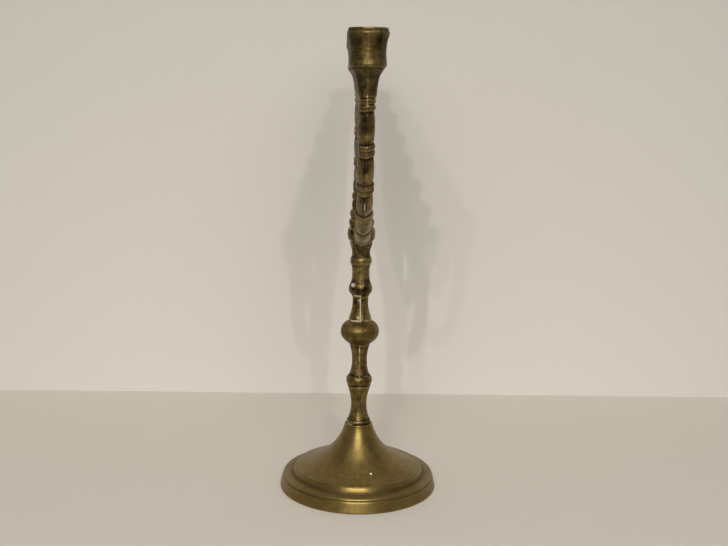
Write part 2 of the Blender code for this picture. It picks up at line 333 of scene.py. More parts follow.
class Net:
    """The node tree of a material or world, with short ways to add nodes."""

    def __init__(self, owner, output):
        owner.use_nodes = True
        self.owner = owner
        self.tree = owner.node_tree
        self.tree.nodes.clear()
        self.out = self.node(output)

    def node(self, kind, **props):
        node = self.tree.nodes.new("ShaderNode" + kind)
        for key, value in props.items():
            setattr(node, key, value)
        return node

    def put(self, socket, value):
        if isinstance(value, bpy.types.NodeSocket):
            self.tree.links.new(value, socket)
        elif value is not None:
            socket.default_value = value

    def math(self, operation, *values, clamp=False):
        node = self.node("Math", operation=operation, use_clamp=clamp)
        for socket, value in zip(node.inputs, values):
            self.put(socket, value)
        return node.outputs[0]

    def add(self, first, second, clamp=False):
        return self.math("ADD", first, second, clamp=clamp)

    def sub(self, first, second, clamp=False):
        return self.math("SUBTRACT", first, second, clamp=clamp)

    def mul(self, first, second, clamp=False):
        return self.math("MULTIPLY", first, second, clamp=clamp)

    def swing(self, value, amount):
        """Stretch a 0..1 value to -amount..amount."""
        return self.math("MULTIPLY_ADD", value, 2 * amount, -amount)

    def mix(self, share, first, second, blend="MIX"):
        node = self.node("Mix", data_type="RGBA", blend_type=blend, clamp_factor=True)
        self.put(node.inputs["Factor"], share)
        self.put(node.inputs[6], first)       # 6, 7 and output 2 are the colour sockets
        self.put(node.inputs[7], second)
        return node.outputs[2]

    def shade(self, colour, level):
        return self.mix(1.0, colour, self.combine(level, level, level), "MULTIPLY")

    def noise(self, vector, scale, detail=4.0, rough=0.55, distort=0.0):
        node = self.node("TexNoise")
        self.put(node.inputs["Vector"], vector)
        node.inputs["Scale"].default_value = scale
        node.inputs["Detail"].default_value = detail
        node.inputs["Roughness"].default_value = rough
        node.inputs["Distortion"].default_value = distort
        return node.outputs[0]

    def ramp(self, value, stops):
        """Colour ramp through (position, grey or colour) stops."""
        node = self.node("ValToRGB")
        elements = node.color_ramp.elements
        elements.remove(elements[-1])
        for i, (position, colour) in enumerate(stops):
            element = elements.new(position) if i else elements[0]
            element.position = position
            grey = isinstance(colour, (int, float))
            element.color = (colour, colour, colour, 1) if grey else (*colour, 1)
        self.put(node.inputs[0], value)
        return node.outputs[0]

    def map_range(self, value, source, target, **props):
        node = self.node("MapRange", clamp=True, **props)
        self.put(node.inputs["Value"], value)
        for key, limit in zip(("From Min", "From Max", "To Min", "To Max"), source + target):
            node.inputs[key].default_value = limit
        return node.outputs["Result"]

    def attr(self, name):
        return self.node("Attribute", attribute_name=name).outputs["Fac"]

    def combine(self, x, y, z):
        node = self.node("CombineXYZ")
        for socket, value in zip(node.inputs, (x, y, z)):
            self.put(socket, value)
        return node.outputs[0]

    def separate(self, vector):
        node = self.node("SeparateXYZ")
        self.put(node.inputs[0], vector)
        return node.outputs

    def bump(self, height, strength, distance):
        node = self.node("Bump")
        node.inputs["Strength"].default_value = strength
        node.inputs["Distance"].default_value = distance
        self.put(node.inputs["Height"], height)
        return node.outputs[0]

    def principled(self, **sockets):
        node = self.node("BsdfPrincipled")
        for key, value in sockets.items():
            self.put(node.inputs[key.replace("_", " ")], value)
        return node.outputs[0]

    def finish(self, shader):
        self.put(self.out.inputs["Surface"], shader)
        return self.owner


def material_net(name):
    """A new material's net and its object coordinates."""
    net = Net(bpy.data.materials.new(name), "OutputMaterial")
    return net, net.node("TexCoord").outputs["Object"]


# ---------------------------------------------------------------- brass and steel
GROOVE_DIRT = (0.020, 0.014, 0.008, 1)
STAIN = (0.022, 0.014, 0.008, 1)
PINHOLE = (0.018, 0.012, 0.008, 1)
WARM_TINT = (1.0, 0.76, 0.55, 1)
GREEN_TINT = (0.84, 0.96, 0.70, 1)
POLISH_DULL = (0.40, 0.36, 0.26, 1)
POLISH_PALE = (0.60, 0.56, 0.46, 1)
FLECK = (0.80, 0.77, 0.68, 1)


def pinholes(net, coords, middling):
    """Dark specks, gathered where the middling noise is high."""
    cells = net.node("TexVoronoi")
    net.put(cells.inputs["Vector"], coords)
    cells.inputs["Scale"].default_value = 430.0
    return net.mul(net.ramp(cells.outputs["Distance"], [(0.05, 1.0), (0.15, 0.0)]),
                   net.ramp(middling, [(0.53, 0.0), (0.60, 1.0)]), clamp=True)


def dried_polish(net, coords, middling, fine, amount, flecks):
    """Where polish covers the metal, and its colour."""
    flake = net.noise(coords, scale=950.0, rough=0.8, distort=0.3)
    grains = net.add(net.mul(flake, 0.55), net.mul(middling, 0.45))
    cover = net.add(grains, amount)
    cover = net.ramp(net.sub(cover, 0.20), [(0.50, 0.0), (0.60, 1.0)])
    fleck = net.mul(fine, 0.0)
    for *centre, size in flecks:
        away = net.node("VectorMath", operation="DISTANCE")
        net.put(away.inputs[0], coords)
        away.inputs[1].default_value = centre
        ragged = net.add(away.outputs["Value"], net.mul(fine, size * 0.8))
        spot = net.math("LESS_THAN", ragged, size * 1.4)
        cover = net.math("MAXIMUM", cover, spot)
        fleck = net.math("MAXIMUM", fleck, spot)
    pale = net.mix(fine, POLISH_DULL, POLISH_PALE)
    return cover, net.mix(fleck, pale, FLECK)


def brass(name, dark, mid, light, rough, turned, cast, blotch, contrast, tarnish_shade_depth, tone=0.0,
          white=1.0, olive=0.6, shine=0.30, stain=0.0, brushed=0.0, flecks=()):
    """Aged brass: tarnish and painted shade, rubbed edges, dried polish, pits, lathe lines.

    dark, mid and light are the metal's colours. turned and cast set the depth of
    lathe lines and casting grain; blotch, contrast and tone the spread and level
    of brightness; grime, white, olive, stain and shine the amounts of tarnish and
    painted shade, polish, green drift, black stain and bright edge. The sign of
    brushed picks the direction of the stretched highlights. flecks are (x, y, z,
    size) polish spots.
    """
    net, coords = material_net(name)
    x, y, z = net.separate(coords)
    # the cups stand at multiples of the pitch, so x is folded on to the nearest axis
    half_pitch = CUP_PITCH * MM / 2
    local = net.math("WRAP", x, half_pitch, -half_pitch) if turned < 0.5 else x
    radius = net.math("SQRT", net.add(net.mul(local, local), net.mul(y, y)))
    angle = net.math("ARCTAN2", y, local)
    rings = net.combine(radius, net.mul(angle, 0.0012), z)
    streak = net.combine(x, y, net.mul(z, 0.14))

    big = net.noise(coords, scale=42.0, detail=5.0, rough=0.62, distort=0.5)
    middling = net.noise(coords, scale=160.0, detail=6.0, rough=0.66, distort=0.4)
    fine = net.noise(coords, scale=640.0, detail=5.0, rough=0.7)
    grit = net.noise(coords, scale=2600.0, detail=3.0, rough=0.7)
    lathe = net.noise(rings, scale=1900.0, detail=3.0, rough=0.75)
    streaks = net.noise(streak, scale=300.0, rough=0.6)
    cav, shade_and_tarnish, edge, seam, res = (net.attr(key) for key in
                                   ("cav", "shade_and_tarnish", "edge", "seamline", "res"))

    # one number for how bright the metal is
    bright = 0.5 + tone
    for texture, amount in ((big, 1.15 * blotch * contrast), (middling, 0.55 * contrast),
                            (fine, 0.40 * contrast), (streaks, 0.28 * contrast)):
        bright = net.add(bright, net.swing(texture, amount))
    bright = net.add(bright, net.mul(edge, shine))
    bright = net.add(bright, net.mul(seam, 0.15))
    # tarnish and painted shade carried on the mesh darken the metal
    bright = net.sub(bright, net.mul(shade_and_tarnish, tarnish_shade_depth), clamp=True)
    colour = net.ramp(bright, [(0.0, dark), (0.45, mid), (0.95, light)])
    # warm copper-brown and green-olive drifts
    drift = net.noise(coords, scale=90.0, detail=3.0, rough=0.5, distort=1.0)
    warm = net.mix(0.5, colour, WARM_TINT, "MULTIPLY")
    colour = net.mix(net.ramp(drift, [(0.52, 0.0), (0.74, 0.7)]), colour, warm)
    green = net.mix(olive, colour, GREEN_TINT, "MULTIPLY")
    colour = net.mix(net.ramp(drift, [(0.26, 0.8), (0.50, 0.0)]), colour, green)
    # tarnish settles in grooves
    groove = net.mul(cav, net.math("MULTIPLY_ADD", middling, 0.9, 0.62), clamp=True)
    colour = net.mix(net.mul(groove, 0.90), colour, GROOVE_DIRT)
    if stain > 0:
        spot = net.noise(coords, scale=120.0, detail=6.0, rough=0.72, distort=0.8)
        colour = net.mix(net.ramp(spot, [(0.60, 0.0), (0.66, stain)]), colour, STAIN)
    hole = pinholes(net, coords, middling)
    colour = net.mix(net.mul(hole, 0.85), colour, PINHOLE)
    cover, pale = dried_polish(net, coords, middling, fine, net.mul(res, 0.42 * white), flecks)
    colour = net.mix(net.mul(cover, 0.92), colour, pale)

    # bright metal and edges are smoother; grooves and polish are rougher
    roughness = net.math("MULTIPLY_ADD", middling, 0.18, rough - 0.09)
    roughness = net.add(roughness, net.swing(fine, 0.08))
    roughness = net.add(roughness, net.mul(net.sub(0.5, bright), 0.12))
    roughness = net.add(roughness, net.mul(groove, 0.30))
    roughness = net.sub(roughness, net.mul(edge, 0.06))
    roughness = net.add(roughness, net.mul(cover, 0.5), clamp=True)
    metal = net.sub(1.0, net.mul(cover, 0.97))
    metal = net.sub(metal, net.mul(groove, 0.25), clamp=True)

    # casting grain, grit, lathe lines, pinholes and the body of the polish
    height = net.mul(net.noise(coords, scale=340.0, detail=5.0, rough=0.6), 0.9 * cast)
    height = net.add(height, net.mul(grit, 0.16 * cast + 0.05))
    height = net.add(height, net.mul(lathe, 0.30 * turned))
    height = net.sub(height, net.mul(hole, 0.8))
    height = net.add(height, net.mul(cover, 0.25))
    sockets = dict(Base_Color=colour, Metallic=metal, Roughness=roughness,
                   Normal=net.bump(height, strength=0.55, distance=0.00022))
    if brushed:
        tangent = net.node("Tangent", direction_type="RADIAL", axis="Z").outputs[0]
        sockets.update(Anisotropic=abs(brushed), Tangent=tangent,
                       Anisotropic_Rotation=0.25 if brushed > 0 else 0.0)
    return net.finish(net.principled(**sockets))


def zinc_steel():
    """Dull plated steel with rust spots."""
    net, coords = material_net("dull_zinc_steel")
    clouds = net.noise(coords, scale=240.0, detail=5.0, rough=0.6)
    grit = net.noise(coords, scale=1500.0, rough=0.7)
    cav = net.attr("cav")
    colour = net.ramp(clouds, [(0.3, (0.2, 0.1872, 0.1606)), (0.7, (0.40, 0.39, 0.365))])
    colour = net.mix(net.mul(cav, 0.7), colour, (0.05, 0.042, 0.033, 1))
    rust = net.noise(coords, scale=330.0, detail=6.0, rough=0.7, distort=0.5)
    rust = net.ramp(rust, [(0.60, 0.0), (0.68, 0.8)])
    colour = net.mix(rust, colour, (0.14, 0.060, 0.022, 1))
    roughness = net.math("MULTIPLY_ADD", grit, 0.25, 0.28)
    roughness = net.add(roughness, net.mul(rust, 0.35), clamp=True)
    metal = net.sub(1.0, net.mul(rust, 0.8))
    return net.finish(net.principled(
        Base_Color=colour, Metallic=metal, Roughness=roughness,
        Normal=net.bump(grit, strength=0.4, distance=0.0001)))


FOOT_M = brass("aged_brass_foot", dark=(0.104, 0.068, 0.026), mid=(0.218, 0.153, 0.053),
               light=(0.345, 0.262, 0.092), rough=0.41, turned=0.60, cast=0.16, blotch=0.30,
               white=0.8, contrast=0.62, tarnish_shade_depth=0.35, olive=0.30, brushed=0.62, shine=0.12,
               flecks=((0.0396, 0.0108, 0.0244, 0.0011), (-0.031, -0.036, 0.0214, 0.0004),
                       (-0.012, 0.052, 0.0196, 0.0003)))
STEM = dict(dark=(0.038, 0.024, 0.011), mid=(0.196, 0.138, 0.049), light=(0.390, 0.300, 0.108),
            rough=0.42, turned=0.30, cast=1.0, blotch=0.36, contrast=1.25, brushed=0.12,
            shine=0.2, olive=0.45)
STEM_M = brass("aged_brass_stem", tarnish_shade_depth=0.85, **STEM)
SPINDLE_M = brass("aged_brass_spindle", tarnish_shade_depth=0.68, tone=0.10, **STEM)
KNOP_M = brass("aged_brass_knop", dark=(0.048, 0.030, 0.012), mid=(0.178, 0.126, 0.044),
               light=(0.320, 0.246, 0.086), rough=0.48, turned=0.15, cast=0.60,
               blotch=0.36, contrast=0.9, tarnish_shade_depth=0.7, brushed=-0.45)
ARM_M = brass("aged_brass_arm", dark=(0.034, 0.021, 0.010), mid=(0.202, 0.138, 0.054),
              light=(0.415, 0.308, 0.125), rough=0.36, turned=0.10, cast=0.80, blotch=0.46,
              white=0.9, contrast=1.05, tarnish_shade_depth=0.85, shine=0.12)
CUP_M = brass("aged_brass_cup", dark=(0.022, 0.014, 0.007), mid=(0.120, 0.086, 0.031),
              light=(0.300, 0.236, 0.088), rough=0.47, turned=0.40, cast=0.35, blotch=0.50,
              white=0.8, contrast=0.95, tarnish_shade_depth=0.55, stain=0.85, brushed=0.25, shine=0.2,
              olive=0.40)
STEEL_M = zinc_steel()

# ---------------------------------------------------------------- the column
# Profiles are (radius, height[, 1 at a corner]) in mm, down the outer side.
column_skin = []          # outer (radius, height) points, which the arms are fitted to


def stem_part(node, profile, material=STEM_M, **marks):
    """A bored piece of the column."""
    rise = 0.24 if profile[0][1] < 350 else 0.0        # close up to the next piece
    top, bottom = profile[0][1] + rise, profile[-1][1]
    spec = [(profile[0][0], top, 1), *profile[1:-1], (profile[-1][0], bottom, 1),
            (BORE, bottom, 1), (BORE, top, 1)]
    line = outline(spec, step=0.42)
    column_skin.append(line[line[:, 0] > 3.4])
    part = revolve(node + "_casting", line, material, **marks)
    stand_in(part, node)


def bead(neck, ring, low, high, steps=8):
    """One rounded bead from its upper to its lower neck."""
    points = []
    for i in range(steps + 1):
        z = high + (low - high) * (0.5 - 0.5 * math.cos(math.pi * (i / steps)))
        bulge = max(0.0, 1 - ((z - (low + high) / 2) / ((high - low) / 2)) ** 2) ** 0.5
        radius = neck + (ring - neck) * bulge
        points.append((radius, z, 1) if i in (0, steps) else (radius, z))
    return points


LOWER_STEM = [
    (9.3, 132.3), (8.9, 131.2), (8.0, 128.0), (7.1, 123.6), (6.7, 118.6),
    (6.8, 114.8), (7.2, 110.4), (8.0, 106.8), (9.0, 104.0), (9.5, 103.2, 1),
    (10.5, 102.3), (11.35, 100.8), (11.55, 99.2), (11.3, 97.0), (10.7, 95.4),
    (9.9, 94.7, 1), (9.9, 94.1, 1), (10.35, 93.6, 1), (10.1, 92.6), (8.8, 88.6), (7.4, 82.4),
    (6.95, 76.6), (7.4, 70.6), (8.9, 64.9), (9.6, 62.9), (9.7, 62.3, 1),
    (10.5, 61.6), (10.75, 60.4), (10.5, 59.2), (10.3, 58.6, 1), (10.3, 56.9)]
# the wide patch at bearing 0 over the ring near 99.8 mm is painted shade that dims its highlight
stem_part("lower_stem", LOWER_STEM, seed=3, residue=0.22, seam=0.10, seam_residue=0.42,
          pits=18, halves=0.06,
          smut=((80.0, 9.0, 0.0, 16.0, 0.35), (99.8, 4.2, 0.0, 80.0, 0.30)),
          soot=((56.0, 66.0, 0.25), (128.0, 134.0, 0.5)),
          chalk=((131.6, 0.8, -35.0, 40.0, 0.7), (131.6, 0.8, 60.0, 20.0, 0.5),
                 (128.0, 2.6, -4.0, 7.0, 0.6), (117.0, 12.0, 0.0, 4.5, 0.30),
                 (58.8, 1.4, -55.0, 34.0, 0.8), (103.4, 0.7, 30.0, 40.0, 0.3)))

KNOP = [
    (9.8, 153.0), (11.4, 152.55), (13.4, 151.4), (15.4, 149.2), (16.7, 146.4), (17.1, 143.6),
    (16.6, 140.4), (15.2, 137.8), (12.8, 135.2), (10.9, 133.7), (9.3, 132.6)]
# the knop's wide patch at bearing 0 near 143 mm is painted shade that dims its highlight
stem_part("knop", KNOP, material=KNOP_M, seed=5, residue=0.5, seam=0.07, count=136, pits=8,
          wobble=0.07, halves=0.16, seam_residue=0.3,
          soot=((148.5, 153.5, 0.4), (132.0, 136.5, 0.5)),
          smut=((143.0, 9.0, -72.0, 28.0, 0.4), (140.0, 5.0, -25.0, 16.0, 0.35),
                (147.0, 3.0, 30.0, 20.0, 0.12), (143.0, 8.0, 0.0, 26.0, 0.20)),
          chalk=((152.5, 0.7, -25.0, 50.0, 0.75), (152.5, 0.7, 150.0, 70.0, 0.8)))

UPPER_STEM = [
    (6.9, 174.7), (7.05, 173.6, 1), (6.9, 171.0), (7.3, 165.4), (8.4, 160.4), (9.7, 156.4),
    (10.15, 154.6, 1), (9.9, 153.3)]
stem_part("upper_stem", UPPER_STEM, seed=7, residue=0.5, seam=0.13, seam_residue=0.85,
          pits=9, halves=0.06, soot=((168.0, 176.0, 0.3),),
          chalk=((172.2, 2.6, -26.0, 32.0, 0.95), (154.3, 1.1, -38.0, 34.0, 1.1),
                 (154.3, 1.1, 38.0, 22.0, 0.85), (158.5, 3.2, -14.0, 12.0, 0.7),
                 (166.0, 6.0, -2.0, 5.0, 0.5), (154.4, 1.0, 160.0, 60.0, 0.8)))

SPINDLE = [
    (9.7, 224.1), (10.0, 222.6), (9.4, 220.6, 1), (8.5, 218.2), (7.9, 214.9), (8.1, 211.9),
    (8.6, 210.4, 1), (9.3, 209.3), (9.6, 207.2), (9.3, 205.1), (8.6, 203.9, 1), (8.1, 202.4),
    (7.7, 196.2), (8.0, 190.8), (8.7, 187.8), (9.6, 185.9), (10.25, 184.0), (10.45, 181.8),
    (10.1, 179.6), (9.3, 178.2), (8.3, 177.4, 1), (7.8, 176.6), (7.5, 175.0)]
# the patches at bearing 0 over the small ring (181 and 184.6 mm) and the ring at 207 mm are
# painted shade that dims their highlights
stem_part("spindle", SPINDLE, material=SPINDLE_M, seed=9, residue=0.35, seam=0.14,
          seam_residue=0.35, pits=12, halves=0.08,
          soot=((211.0, 226.0, 0.62), (184.0, 192.0, 0.2), (176.0, 179.0, 0.6)),
          smut=((187.0, 5.0, 48.0, 30.0, 0.7), (187.0, 4.0, -60.0, 22.0, 0.6),
                (181.0, 4.4, 0.0, 60.0, 0.85), (207.0, 3.8, 0.0, 70.0, 0.60),
                (217.5, 6.5, 0.0, 110.0, 0.28), (184.6, 3.4, 0.0, 42.0, 0.50)),
          chalk=((186.0, 2.7, -46.0, 27.0, 0.85), (183.6, 1.6, -14.0, 9.0, 0.7),
                 (176.9, 1.0, -30.0, 32.0, 1.2), (222.0, 2.6, -60.0, 16.0, 1.2),
                 (213.5, 2.2, -58.0, 12.0, 0.9), (219.5, 1.2, 45.0, 22.0, 0.6),
                 (182.0, 1.6, 150.0, 30.0, 0.9)))

OUTER_HUB = [
    (9.8, 237.4), (10.9, 236.8), (11.8, 234.9), (12.15, 232.0), (12.0, 229.0),
    (11.3, 226.4), (10.3, 225.0), (9.6, 224.4)]
stem_part("outer_hub", OUTER_HUB, seed=11, residue=0.45, seam=0.0, pits=6,
          soot=((223.0, 229.0, 0.9), (229.0, 238.0, 0.4)),
          chalk=((226.0, 2.4, -60.0, 20.0, 1.2), (236.6, 1.0, -75.0, 30.0, 0.9),
                 (226.0, 1.6, 120.0, 40.0, 0.7)))

LOWER_BEADS = (            # neck radius, ring radius, low, high
    (7.2, 8.8, 260.9, 267.6), (7.4, 8.7, 252.9, 260.8),
    (8.2, 10.3, 245.0, 252.8), (9.2, 11.0, 237.7, 244.9))
COLUMN_LOWER = bead(*LOWER_BEADS[0])
for row in LOWER_BEADS[1:]:
    COLUMN_LOWER += bead(*row)[1:]
stem_part("column_lower", COLUMN_LOWER, seed=13, residue=0.45, seam=0.08, pits=6,
          soot=((230.0, 272.0, 0.4),))

MIDDLE_HUB = [
    (6.9, 279.5), (7.4, 278.4), (7.8, 276.0), (7.9, 273.7), (7.8, 271.2), (7.5, 269.0),
    (7.0, 267.9)]
stem_part("middle_hub", MIDDLE_HUB, seed=15, residue=0.45, seam=0.0, pits=3,
          soot=((266.0, 282.0, 0.5),))

RING_PAIR_Z = 295.2        # two fine rings side by side
COLUMN_MIDDLE = (
    [(5.9, 310.9), (6.25, 306.4), (6.1, 302.0), (5.75, 300.0)]
    + bead(neck=5.7, ring=6.8, low=RING_PAIR_Z + 0.05, high=RING_PAIR_Z + 4.6, steps=6)
    + bead(neck=5.7, ring=6.8, low=RING_PAIR_Z - 4.6, high=RING_PAIR_Z - 0.05, steps=6)
    + [(5.75, 290.2), (6.2, 287.6), (6.4, 283.6), (6.1, 279.8)])
stem_part("column_middle", COLUMN_MIDDLE, seed=17, residue=0.45, seam=0.08, pits=5,
          soot=((276.0, 314.0, 0.5),))

INNER_HUB = [
    (6.1, 322.2), (6.6, 321.0), (6.95, 318.8), (7.0, 316.7), (6.95, 314.4), (6.6, 312.3),
    (6.1, 311.2)]
stem_part("inner_hub", INNER_HUB, seed=19, residue=0.45, seam=0.0, pits=3,
          soot=((309.0, 325.0, 0.5),))

COLUMN_TOP = 351.3         # top of the column and of the arms
TOP_RINGS_Z = 346.6        # between the two topmost rings
COLUMN_UPPER = (
    bead(neck=5.4, ring=6.4, low=346.65, high=COLUMN_TOP, steps=6)
    + bead(neck=5.4, ring=6.4, low=342.0, high=TOP_RINGS_Z, steps=6)
    + [(5.35, 341.2), (5.8, 338.6), (6.05, 333.0), (5.9, 327.2), (5.6, 322.5)])
stem_part("column_upper", COLUMN_UPPER, seed=21, residue=0.45, seam=0.08, pits=5,
          soot=((320.0, 354.0, 0.5),))

# ---------------------------------------------------------------- the foot
FOOT = [                   # down the outside, then up the hollow underside
    (10.9, 58.6, 1), (12.0, 58.6, 1), (12.45, 58.1, 1), (12.6, 56.8), (13.25, 54.6),
    (15.1, 50.0), (17.4, 45.4), (20.3, 40.9), (23.8, 36.6), (29.3, 31.6), (37.2, 26.7),
    (46.2, 22.25), (52.6, 19.75), (55.9, 18.6), (56.25, 18.4, 1), (56.45, 18.0),
    (56.7, 18.0, 1), (56.95, 18.1), (57.2, 17.75), (57.6, 17.0), (58.15, 15.95),
    (58.75, 14.85), (59.55, 13.95), (60.9, 13.25), (63.2, 12.75), (66.5, 12.35, 1),
    (66.75, 12.0, 1), (67.25, 11.95), (67.65, 11.3), (67.75, 10.6, 1), (67.65, 10.2, 1),
    (68.1, 9.7), (68.45, 9.1), (69.3, 5.6), (70.1, 2.2), (70.4, 0.8), (70.2, 0.2),
    (69.8, 0.0, 1), (66.8, 0.0, 1), (66.3, 6.5), (64.0, 9.8), (58.0, 12.6), (46.0, 18.8),
    (34.0, 24.6), (24.0, 31.8), (17.6, 39.6), (14.0, 45.6), (11.6, 50.6, 1),
    (BORE, 50.6, 1), (BORE, 56.6, 1), (10.9, 56.6, 1)]
# painted shade: the three dark bands, at the crease, over the small bead and groove and down the
# rim band, dim the highlights there
foot = revolve("foot_shell", outline(FOOT, step=0.7, ease=0.22), FOOT_M, count=240, seam=0.0,
               seed=23, residue=0.10, squeeze=0.0, pits=26, grain=2.2, dirt=0.55,
               soot=((17.6, 19.2, 0.35), (8.4, 12.3, 0.45), (1.0, 8.0, 0.14)),
               chalk=((12.0, 0.5, -78.0, 24.0, 0.6), (12.0, 0.5, 62.0, 18.0, 0.35),
                      (11.0, 0.6, 170.0, 40.0, 0.4), (58.7, 0.6, 0.0, 50.0, 0.4)))
stand_in(foot, "foot")

# ---------------------------------------------------------------- the cups
CUP = [                    # from the inner floor over the lip and down the outside
    (0.6, 375.2), (6.0, 375.5), (10.2, 376.0), (11.2, 377.0), (11.25, 399.0, 1),
    (11.7, 400.0, 1), (13.95, 400.0, 1), (14.2, 399.7), (14.3, 398.9), (14.5, 398.0),
    (14.95, 397.1), (15.2, 396.2), (15.1, 395.2), (14.8, 394.5, 1), (14.45, 393.6),
    (14.0, 392.2), (13.5, 389.8), (13.1, 386.4), (12.95, 382.4), (13.1, 378.8),
    (13.5, 375.6), (13.6, 374.4), (13.3, 373.1), (12.3, 372.3, 1), (11.4, 371.0),
    (9.9, 368.6), (8.5, 365.6), (7.65, 361.8), (7.05, 357.4), (6.7, 353.4),
    (6.6, 352.0, 1), (6.4, 351.36, 1), (BORE, 351.36, 1), (BORE, 362.6, 1), (0.6, 363.0)]
cup_line = outline(CUP, step=0.45, ease=0.22, closed=False)
# more dried polish on the seam of the neck than on the drum above it
cup_seam_residue = np.interp(cup_line[:, 1], (371.0, 374.0), (0.58, 0.34))[:, None]


def cup_bend(number):
    """Each cup is knocked a little out of true in its own way."""
    def bend(angle, line):
        height = line[:, 1]
        drum = np.clip((height - 384.0) / 16.0, 0, 1)[:, None]
        rim = np.clip((height - 396.0) / 3.0, 0, 1)[:, None]
        oval = (0.09 * np.sin(2 * angle + number * 1.7)
                + 0.05 * np.sin(3 * angle + number * 2.3))
        off = angle - 1.1 * number
        dent = -0.22 * np.exp(-(np.arctan2(np.sin(off), np.cos(off)) / 0.12) ** 2)
        outside = (line[:, 0] > 11.6)[:, None]
        return (oval + dent * rim) * drum * outside
    return bend


def make_cup(index, tag, x):
    out = 180.0 if x < 0 else 0.0          # bearing away from the column
    # painted shade: the bands on the drum's underside and over the lip, the wide patch at out -
    # 62 and the faint patch facing out darken shaded, mirrored and highlighted parts of the cup;
    # the narrow patch at out + 33 is a real stain
    cup = revolve("candle_cup_" + tag, cup_line, CUP_M, middle_x=x, count=128, closed=False,
                  seam=0.10, wobble=0.045, seed=31 + 4 * index, residue=0.30,
                  seam_residue=cup_seam_residue, halves=0.03, bend=cup_bend(index + 1), pits=4,
                  soot=((353.0, 370.0, 0.12), (370.8, 373.4, 0.45), (393.5, 400.5, 0.30)),
                  smut=((385.0, 10.0, out - 62.0, 30.0, 0.62),
                        (390.2, 5.4, out + 33.0, 8.0, 0.95),
                        (381.0, 9.0, out, 26.0, 0.18), (391.0, 2.5, out - 24.0, 9.0, 0.5)),
                  chalk=((352.2, 0.8, 0.0, 60.0, 0.45), (394.6, 0.5, 40.0, 40.0, 0.35)))
    stand_in(cup, "cup_" + tag)


cups = [("centre", 0.0)]
for i, rank in enumerate(("inner", "middle", "outer"), 1):
    cups += [(rank + "_" + side, sign * i * CUP_PITCH) for side, sign in SIDES]
for i, (tag, x) in enumerate(cups):
    make_cup(i, tag, x)

# ---------------------------------------------------------------- the arms
ARM_POWER = 2.09           # exponent of the superellipse the arms follow
RING_PITCH = 33.6          # from one pair of rings to the next
ARM_SIDES = 76             # points round an arm
# centre_z and drop place the superellipse; hub and end are the radii of the hub
# and of the arm where it meets the hub; grow thickens the arm towards the hub.
ARMS = {
    "outer": dict(span=3 * CUP_PITCH, centre_z=357.0, drop=126.3, hub=12.1, end=6.4, grow=0.18),
    "middle": dict(span=2 * CUP_PITCH, centre_z=355.0, drop=81.3, hub=7.9, end=5.5, grow=0.06),
    "inner": dict(span=CUP_PITCH, centre_z=353.0, drop=36.3, hub=7.0, end=5.2, grow=0.0)}

skin = np.vstack(column_skin)


def widest(height):
    near = skin[np.abs(skin[:, 1] - height) < 0.6, 0]
    return near.max() if len(near) else 0.0


column_z = np.arange(200.0, 352.0, 0.25)
column_r = np.array([widest(z) for z in column_z])


def ring_distance(along):
    """Distance from the middle of the nearest pair of rings, mm."""
    return np.abs((along + RING_PITCH / 2) % RING_PITCH - RING_PITCH / 2)


def bead_radius(away):
    """Radius of an arm at a distance from the middle of a ring pair, mm."""
    ring = 4.55 + 1.72 * np.sqrt(np.clip(1 - ((away - 2.45) / 2.38) ** 2, 0, 1))
    share = np.clip((away - 4.85) / (RING_PITCH / 2 - 4.85), 0, 1)
    barrel = 4.65 + 1.28 * np.sin(np.clip(share * 1.12, 0, 1) * math.pi / 2) ** 0.55
    return np.where(away < 4.85, ring, barrel)


def arm_path(arm, first_rings):
    """Stations from tip to hub: distances, x, z, and the whole length of the curve."""
    turn = np.linspace(0, math.pi / 2, 6000)
    curve_x = arm["span"] * np.cos(turn) ** (2 / ARM_POWER)
    curve_z = arm["centre_z"] - arm["drop"] * np.sin(turn) ** (2 / ARM_POWER)
    curve_x[-1] = 0.0
    path = np.concatenate([[0], np.cumsum(np.hypot(np.diff(curve_x), np.diff(curve_z)))])
    start = float(np.interp(COLUMN_TOP, curve_z[::-1], path[::-1]))
    end = float(np.interp(-(arm["hub"] + 2.6), -curve_x, path))
    # fine steps on the rings, longer ones on the barrels
    along = [start]
    while along[-1] < end:
        along.append(along[-1] + (0.22 if ring_distance(along[-1] - first_rings) < 5.8 else 0.60))
    along[-1] = end
    along = np.array(along)
    return along, np.interp(along, path, curve_x), np.interp(along, path, curve_z), path[-1]


def hub_fillet(last, hub_z, sign, shares):
    """Rows that carry the last ring on to the skin of the hub, flaring a little."""
    rows = []
    for share in shares:
        flare = 1 + 0.11 * share ** 5
        y = last[:, 1] * flare
        z = hub_z + (last[:, 2] - hub_z) * flare
        hub_r = np.maximum(np.interp(z, column_z, column_r), 1.0)
        x = np.sqrt(np.clip(hub_r ** 2 - y ** 2, 1.0, None)) - 0.25
        start = np.abs(last[:, 0])
        rows.append(np.stack([sign * (start + (x - start) * share), y, z], 1))
    return rows


